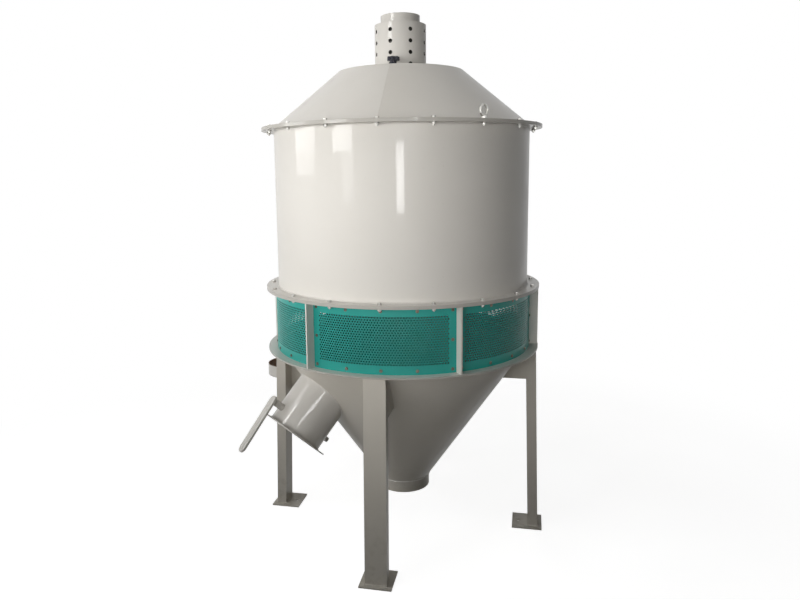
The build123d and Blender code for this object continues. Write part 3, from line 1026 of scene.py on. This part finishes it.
@dataclass
class Vessel:
    """Drum, roof, cone, rings and neck, with their seams."""

    shop: Workshop
    finishes: Finishes
    fillet: float = 0.0028
    seam: float = 0.0010
    neck_bead: float = 0.0034
    seam_sink: float = 0.0004
    roof_sink: float = 0.0006
    roof_seams: tuple[float, ...] = (1.5, 181.5)
    drum_seam: float = 160.0
    cone_seam: float = 150.0

    def shell_line(self, node_low: Pair, node_high: Pair, azimuth: float) -> list[Vector]:
        """Points up a shell at one azimuth, from one radius and height to another."""
        return straight_line(spot(azimuth, *node_low), spot(azimuth, *node_high))

    def dress(self) -> None:
        """Paints the vessel's nodes, with bare inner faces darkened as painted shade."""
        drum_r = radius_of("drum_shell")
        self.shop.dress(["drum_shell"], self.finishes.paint("drum_paint", Inside(drum_r - 0.0012)))
        cone_low, cone_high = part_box(CONE_QUARTERS[0])
        neck_r = radius_of("outlet_neck")
        slope = (drum_r - neck_r) / (cone_high.z - cone_low.z)
        inner = Inside(neck_r - cone_low.z * slope - 0.0015, slope)
        # The cone's and the neck's grey is darkened as painted shade.
        self.shop.dress(CONE_QUARTERS, self.finishes.low_paint("cone_paint", inner))
        roof_low, roof_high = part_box("roof_cone")
        fall = (self.roof_top_radius() - roof_high.x) / (roof_high.z - roof_low.z)
        inner = Inside(roof_high.x - roof_low.z * fall - 0.002, fall)
        # The roof carries painted shade past its front seam.
        self.shop.dress(["roof_cone"], self.finishes.paint("roof_paint", inner, seam=self.roof_seams[0]))
        neck = Inside(neck_r - 0.002)
        self.shop.dress(["outlet_neck"], self.finishes.low_paint("neck_paint", neck))
        dark = Inside(radius_of("screen_rails") + 0.0002)
        self.shop.dress(["screen_rails", "screen_posts"], self.finishes.paint("rail_paint", dark))
        rings = ["lower_ring", "middle_ring_under", "middle_ring_over", "top_ring_under", "top_ring_over"]
        ring_paint = self.finishes.paint("ring_paint", Inside(drum_r - 0.002), 0.0006,
                                         rim=radius_of("top_ring_over") - 0.0006)
        self.shop.dress(rings, ring_paint)
        self.shop.dress(["roof_plate", "spacer_bars"], self.finishes.paint("plate_paint", None, 0.0006))

    def roof_top_radius(self) -> float:
        """Radius of the roof cone at its top edge."""
        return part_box("roof_plate")[1].x

    def build(self) -> None:
        """Lays the seams and fillets."""
        paint = self.finishes.paint("weld_paint", None, 0.0)
        drum_r = radius_of("drum_shell")
        drum_low, drum_high = bottom_of("drum_shell"), top_of("drum_shell")
        cone_low, cone_high = bottom_of(CONE_QUARTERS[0]), top_of(CONE_QUARTERS[0])
        neck_r = radius_of("outlet_neck")
        roof_r, roof_low, roof_high = radius_of("roof_cone"), bottom_of("roof_cone"), top_of("roof_cone")
        loops = [
            (circle_line(drum_r + 0.0008, drum_low + 0.0008), True),
            (circle_line(drum_r + 0.0008, drum_high - 0.0008), True),
            (circle_line(roof_r - 0.0005, roof_low + 0.001), True),
            (circle_line(drum_r - 0.001, cone_high - 0.0008), True),
        ]
        self.shop.weld("ring_fillets", loops, self.fillet, 0.0007, 1.0, paint)
        neck = [(circle_line(neck_r + 0.0006, cone_low, 0.004), True)]
        self.shop.weld("neck_weld", neck, self.neck_bead, 0.0016, 3.0, paint)
        face, peak = drum_r - self.seam_sink, self.roof_top_radius() - self.roof_sink
        drum = (face, drum_low), (face, drum_high), self.drum_seam
        cone = (neck_r - self.seam_sink, cone_low), (face, cone_high), self.cone_seam
        foot = roof_r - self.roof_sink
        roofs = [((foot, roof_low), (peak, roof_high), azimuth) for azimuth in self.roof_seams]
        seams = [(self.shell_line(*ends), False) for ends in (drum, cone, *roofs)]
        self.shop.weld("shell_seams", seams, self.seam, 0.0005, 5.0, paint)


@dataclass
class Stand:
    """Legs, foot plates and gussets with their fillet welds."""

    shop: Workshop
    finishes: Finishes
    azimuths: dict[str, float] = field(default_factory=lambda: {"front": 0.0, "right": 90.0, "back": 180.0,
                                                                "left": -90.0})
    width: float = 0.080
    depth: float = 0.040
    fillet: float = 0.003

    def dress(self) -> None:
        """Paints the stand."""
        names = [f"leg_{side}" for side in self.azimuths] + [f"foot_plate_{side}" for side in self.azimuths]
        # The stand and its welds take the grey darkened as painted shade.
        self.shop.dress([*names, "gussets"], self.finishes.low_paint("stand_paint", None, 0.0008))

    def build(self) -> None:
        """Lays the welds at the foot and the head of each leg."""
        paint = self.finishes.low_paint("stand_weld_paint", None, 0.0)
        low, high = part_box("leg_front")
        foot = (low.z + 0.0006, -low.y, -low.y - self.depth)
        head = (high.z - 0.0006, self.depth - high.y, -high.y)
        half = self.width / 2
        lines = []
        for azimuth in self.azimuths.values():
            for height, outer, inner in (foot, head):
                corners = [(inner, -half), (inner, half), (outer, half), (outer, -half)]
                places = [spot(azimuth, reach, height, side) for reach, side in corners]
                loop: list[Vector] = []
                for start, end in zip(places, places[1:] + places[:1]):
                    loop.extend(straight_line(start, end, 0.004)[:-1])
                lines.append((loop, True))
        self.shop.weld("leg_welds", lines, self.fillet, 0.0016, 8.0, paint)


@dataclass
class FeedHead:
    """Feed pipe, holed sleeve and the star knob."""

    shop: Workshop
    finishes: Finishes
    lobes: int = 7

    def dress(self) -> None:
        """Paints the feed head."""
        # The bore, the pipe's outside under the sleeve and the sleeve's inner face are near-black painted
        # shade of the unlit gap and bore.
        bore = Inside(radius_of("feed_pipe") - 0.0015, colour=PAINTED_SHADE_BLACK)
        covered = top_of("adjusting_sleeve") - 0.003
        self.shop.dress(["feed_pipe"], self.finishes.paint("pipe_paint", bore, bare_below=covered))
        back = Inside(radius_of("adjusting_sleeve") - 0.0012, colour=PAINTED_SHADE_BLACK)
        self.shop.dress(["adjusting_sleeve"], self.finishes.paint("sleeve_paint", back))
        self.shop.dress(["knob_boss"], self.finishes.paint("boss_paint"))

    def star(self, reach: float, low: float, high: float) -> Shape:
        """Star knob head with round lobes and scalloped gaps."""
        steps = 12 * self.lobes
        outline = []
        for step in range(steps):
            turn = math.tau * step / steps
            wave = 0.5 + 0.5 * math.cos(self.lobes * turn)
            radius = reach * (0.80 + 0.20 * wave ** 0.7)
            outline.append(polar(radius, turn - math.pi / 2))
        return MeshBench.eased(MeshBench.prism(outline, low, high), 0.0022, 3, 60.0)

    def build(self, plastic: Material, zinc: Material) -> None:
        """Builds the star knob and its screw in place of the plain solid."""
        low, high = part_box("locking_knob")
        centre = (low + high) / 2
        reach = (high.x - low.x) / 2 - 0.0001
        hub_low = top_of("knob_boss") + 0.0006
        neck = hub_low + 0.012
        head = self.star(reach, neck, high.z - 0.0012)
        crown = MeshBench.turned([
            (0.0, high.z - 0.0016), (0.0125, high.z - 0.0016), (0.0115, high.z - 0.0003), (0.0, high.z),
        ], 32, closed=False)
        hub = MeshBench.turned([
            (0.0, hub_low), (0.0118, hub_low), (0.013, hub_low + 0.002), (0.013, neck + 0.001),
            (0.0, neck + 0.001),
        ], 32, closed=False)
        whole = MeshBench.joined([head, crown, hub])
        MeshBench.moved(whole, Matrix.Translation((centre.x, centre.y, 0.0)))
        self.shop.add("star_knob", whole, plastic, Slot.BLACK, KNOB_BODY, ["locking_knob"])
        screw = MeshBench.turned([
            (0.0, low.z), (0.0042, low.z), (0.0049, low.z + 0.001), (0.0049, hub_low + 0.001),
            (0.0, hub_low + 0.001),
        ], 20, closed=False)
        MeshBench.moved(screw, Matrix.Translation((centre.x, centre.y, 0.0)))
        self.shop.add("knob_screw", screw, zinc, Slot.ZINC, KNOB_BODY)


@dataclass
class SideSpout:
    """Angled spout, its end ring, and the damper's lever, shaft and blade."""

    shop: Workshop
    finishes: Finishes
    azimuth: float = -46.0
    tilt: float = 47.5
    radius: float = 0.1095
    end_radius: float = 0.506
    end_height: float = 0.459
    ring_thickness: float = 0.004
    fillet: float = 0.0035
    rim_steps: int = 130

    def frame(self) -> tuple[Vector, Vector, Vector, Vector]:
        """The spout's end point, its direction, its side and the damper shaft's direction."""
        out, side, up = outward(self.azimuth), along(self.azimuth), Vector((0, 0, 1))
        lean = math.radians(self.tilt)
        way = out * math.cos(lean) - up * math.sin(lean)
        shaft = out * math.sin(lean) + up * math.cos(lean)
        return out * self.end_radius + up * self.end_height, way, side, shaft

    def saddle(self, count: int = 150) -> list[Vector]:
        """Line where the spout meets the cone."""
        end, way, side, shaft = self.frame()
        low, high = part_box(CONE_QUARTERS[0])
        neck_r, drum_r = radius_of("outlet_neck"), high.x
        slope = (drum_r - neck_r) / (high.z - low.z)
        line = []
        for step in range(count):
            turn = math.tau * step / count
            ray = end + (side * math.cos(turn) + shaft * math.sin(turn)) * (self.radius + 0.0006)
            near, far = 0.0, 0.30
            for _ in range(40):
                middle = (near + far) / 2
                point = ray - way * middle
                inside = math.hypot(point.x, point.y) < neck_r + (point.z - low.z) * slope
                near, far = (near, middle) if inside else (middle, far)
            line.append(ray - way * near)
        return line

    def dress(self) -> None:
        """Paints the spout and the damper."""
        self.shop.dress(["side_spout", "spout_ring", "shaft_bosses"], self.finishes.paint("spout_paint"))
        self.shop.dress(["damper_lever", "damper_blade", "damper_shaft"],
                        self.finishes.paint("damper_paint", None, 0.0004))

    def build(self) -> None:
        """Lays the spout's welds."""
        paint = self.finishes.paint("spout_weld_paint", None, 0.0)
        end, way, side, shaft = self.frame()
        rim = end - way * self.ring_thickness
        turns = (math.tau * step / self.rim_steps for step in range(self.rim_steps))
        reach = self.radius + 0.001
        loop = [rim + (side * math.cos(turn) + shaft * math.sin(turn)) * reach for turn in turns]
        lines = [(self.saddle(), True), (loop, True)]
        self.shop.weld("spout_welds", lines, self.fillet, 0.0018, 13.0, paint)


@dataclass(frozen=True)
class Lamp:
    """A rectangular soft lamp that faces a height on the centre line."""

    name: str
    azimuth: float
    reach: float
    height: float
    size: Pair
    brightness: float
    faces: float = 1.3
    in_gloss: bool = False
    colour: Point = (1.0, 1.0, 1.0)
    spread: float = 180.0
    roll: float = 0.0
    gloss_only: bool = False

    def place(self) -> None:
        """Adds the lamp, which shows in gloss only where it is a window."""
        data = bpy.data.lights.new(self.name, "AREA")
        data.shape = "RECTANGLE"
        data.size, data.size_y = self.size
        data.energy = self.brightness * math.pi * self.size[0] * self.size[1]
        data.color = self.colour
        data.spread = math.radians(self.spread)
        lamp = put(self.name, data)
        stand = spot(self.azimuth, self.reach, self.height)
        lamp.location = stand
        lamp.rotation_mode = "QUATERNION"
        facing = (Vector((0, 0, self.faces)) - stand).to_track_quat("-Z", "Y")
        lamp.rotation_quaternion = facing @ Quaternion((0, 0, 1), math.radians(self.roll))
        lamp.visible_camera = False
        lamp.visible_glossy = self.in_gloss
        lamp.visible_diffuse = not self.gloss_only


@dataclass
class Studio:
    """Floor, lamps, world and the camera at the photograph's viewing angle."""

    picture_width: float = 800.0
    picture_height: float = 600.0
    focal_pixels: float = 684.08
    centre_x: float = 383.8
    centre_y: float = 270.7
    heading: float = 10.5
    distance: float = 2.7856
    height: float = 1.4556
    pitch: float = -0.1443
    yaw: float = -0.0272
    roll: float = -0.0119
    sensor: float = 36.0
    floor_size: float = 30.0
    shadow_fade: Pair = (1.1, 2.6)
    ambient: float = 0.02
    floor_tone: Colour = (0.09, 0.083, 0.070, 1.0)
    lamps: tuple[Lamp, ...] = (
        Lamp("front_lamp", -8.0, 2.45, 1.42, (2.0, 1.2), 0.87, 1.42, colour=WARM_WHITE, spread=62.0),
        Lamp("left_lamp", -62.0, 2.45, 1.42, (1.7, 1.2), 0.54, 1.42, colour=(1.0, 0.995, 0.985), spread=68.0),
        Lamp("ceiling_lamp", -30.0, 0.8, 3.60, (2.4, 2.4), 1.14, 1.6, colour=WARM_WHITE),
        Lamp("back_lamp", 200.0, 2.45, 1.30, (2.0, 1.0), 0.95, 1.3, colour=WARM_WHITE, spread=75.0),
        Lamp("left_window", -76.0, 4.0, 1.76, (1.7, 0.26), 10.5, 1.76, True),
        Lamp("left_window_foot", -76.0, 4.0, 1.53, (1.6, 0.20), 6.0, 1.53, True),
        Lamp("middle_window", -37.5, 4.0, 1.76, (1.2, 0.26), 17.0, 1.76, True),
        Lamp("middle_window_foot", -33.0, 4.0, 1.42, (0.7, 0.42), 5.0, 1.42, True),
        Lamp("pipe_window", -35.5, 4.0, 2.82, (1.3, 0.3), 18.0, 2.82, True, gloss_only=True),
        Lamp("doorway", 9.5, 4.0, 1.40, (0.44, 0.58), 20.0, 1.4, True, gloss_only=True),
        Lamp("doorway_core", 9.5, 4.0, 1.40, (0.26, 0.32), 36.0, 1.4, True, gloss_only=True),
        Lamp("roof_light", -48.0, 3.48, 3.27, (0.62, 0.26), 30.0, 0.5, True, gloss_only=True),
        Lamp("roof_light_far", -62.0, 3.35, 3.40, (0.9, 0.6), 8.0, 0.5, True, gloss_only=True),
        Lamp("high_window", 14.7, 3.99, 2.12, (1.15, 0.22), 28.0, 0.5, True, roll=-20.0, gloss_only=True),
    )

    def camera(self) -> None:
        """Places the camera that was fitted to the photograph."""
        data = bpy.data.cameras.new("camera")
        data.sensor_width = self.sensor
        data.lens = self.focal_pixels / self.picture_width * self.sensor
        data.shift_x = (self.picture_width / 2 - self.centre_x) / self.picture_width
        data.shift_y = (self.centre_y - self.picture_height / 2) / self.picture_width
        data.clip_end = 60.0
        cos_p, sin_p = math.cos(self.pitch), math.sin(self.pitch)
        cos_y, sin_y = math.cos(self.yaw), math.sin(self.yaw)
        ahead = Vector((sin_y * cos_p, cos_y * cos_p, sin_p))
        right = Vector((cos_y, -sin_y, 0.0))
        up = right.cross(ahead)
        level = right * math.cos(self.roll) + up * math.sin(self.roll)
        upright = up * math.cos(self.roll) - right * math.sin(self.roll)
        turn = Matrix.Rotation(math.radians(self.heading), 4, "Z")
        basis = Matrix((level, upright, -ahead)).transposed().to_4x4()
        place = Matrix.Translation((0.0, -self.distance, self.height))
        camera = put("camera", data)
        camera.matrix_world = turn @ place @ basis
        bpy.context.scene.camera = camera

    def world(self) -> None:
        """Dim even light, and plain white where the background is seen or mirrored."""
        world = bpy.data.worlds.new("studio")
        bpy.context.scene.world = world
        world.use_nodes = True
        tree = world.node_tree
        tree.nodes.clear()
        white = (1.0, 1.0, 1.0, 1.0)
        soft, bright = (
            add_node(tree, "ShaderNodeBackground", {"Color": white, "Strength": strength}).outputs[0]
            for strength in (self.ambient, 1.0)
        )
        mix = add_node(tree, "ShaderNodeMixShader", {0: self.seen(tree), 1: soft, 2: bright})
        add_node(tree, "ShaderNodeOutputWorld", {0: mix.outputs[0]})

    def seen(self, tree: Tree) -> Number:
        """One for camera, glossy and transmission rays."""
        path = add_node(tree, "ShaderNodeLightPath").outputs
        total = Number(tree, path["Is Camera Ray"])
        for name in ("Is Glossy Ray", "Is Transmission Ray"):
            total = total.step("MAXIMUM", path[name])
        return total

    def floor(self) -> None:
        """Wide floor, white where it is seen, with a soft shadow near the object."""
        mesh = bmesh.new()
        bmesh.ops.create_grid(mesh, x_segments=1, y_segments=1, size=self.floor_size)
        data = plain("floor", mesh)
        bench = ShaderBench("floor_paint")
        bench.set(Base_Color=self.floor_tone, Roughness=0.8, Specular_IOR_Level=0.1)
        grain = bench.spread(bench.noise(0.8, 2.0), 0.3, 0.7, 0.97, 1.0)
        far = bench.spread(bench.distance_from((0.0, 0.0)), *self.shadow_fade)
        glow = bench.node("Emission", {"Strength": (1.0 - far) * (grain * 0.90) + far}).outputs[0]
        pale = bench.node("BsdfDiffuse", {"Color": (0.5, 0.5, 0.5, 1.0)}).outputs[0]
        both = bench.node("AddShader", {0: pale, 1: glow}).outputs[0]
        seen = bench.node("MixShader", {0: far, 1: both, 2: glow}).outputs[0]
        light = bench.shader.outputs[0]
        shown = bench.node("MixShader", {0: self.seen(bench.tree), 1: light, 2: seen}).outputs[0]
        feed(bench.tree, bench.output.inputs["Surface"], shown)
        data.materials.append(bench.material)
        floor = put("floor", data)

    def build(self) -> None:
        """Sets up the whole studio."""
        self.camera()
        for lamp in self.lamps:
            lamp.place()
        self.world()
        self.floor()
        bpy.context.scene.view_settings.view_transform = "Standard"


@dataclass
class HoseRing:
    """The ring behind the left leg, grey outside and brown primer inside."""

    shop: Workshop
    finishes: Finishes

    def dress(self) -> None:
        """Paints the ring."""
        low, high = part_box("hose_ring")
        radius = (high.x - low.x) / 2
        centre = (low.x + radius, high.y - radius)
        inside = Inside(radius - 0.0008, 0.0, centre, self.finishes.primer)
        self.shop.dress(["hose_ring"], self.finishes.paint("hose_ring_paint", inside, 0.0004))


def main() -> None:
    """Builds every sub-assembly in order, then the studio."""
    logging.basicConfig(level=logging.INFO, format="%(name)s %(message)s")
    shop = Workshop()
    finishes = Finishes()
    zinc = Plating("zinc_plate").material()
    plastic = Moulding("black_moulding").material()
    fasteners, sheet = FastenerRing(), PerforatedSheet()
    patterns = Fasteners()
    screen_paint = finishes.screen(-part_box("screen_front")[0].y)
    AirRing(shop, sheet, fasteners, patterns).build(screen_paint, finishes.screws())
    RingJoints(shop, fasteners, patterns).build(zinc)
    vessel = Vessel(shop, finishes)
    vessel.dress()
    vessel.build()
    stand = Stand(shop, finishes)
    stand.dress()
    stand.build()
    head = FeedHead(shop, finishes)
    head.dress()
    head.build(plastic, zinc)
    spout = SideSpout(shop, finishes)
    spout.dress()
    spout.build()
    HoseRing(shop, finishes).dress()
    shop.dress(["lifting_eye_left", "lifting_eye_right"], zinc, Slot.ZINC)
    Studio().build()
    LOG.info("%d pieces made", shop.count)


if __name__ == "__main__":
    main()
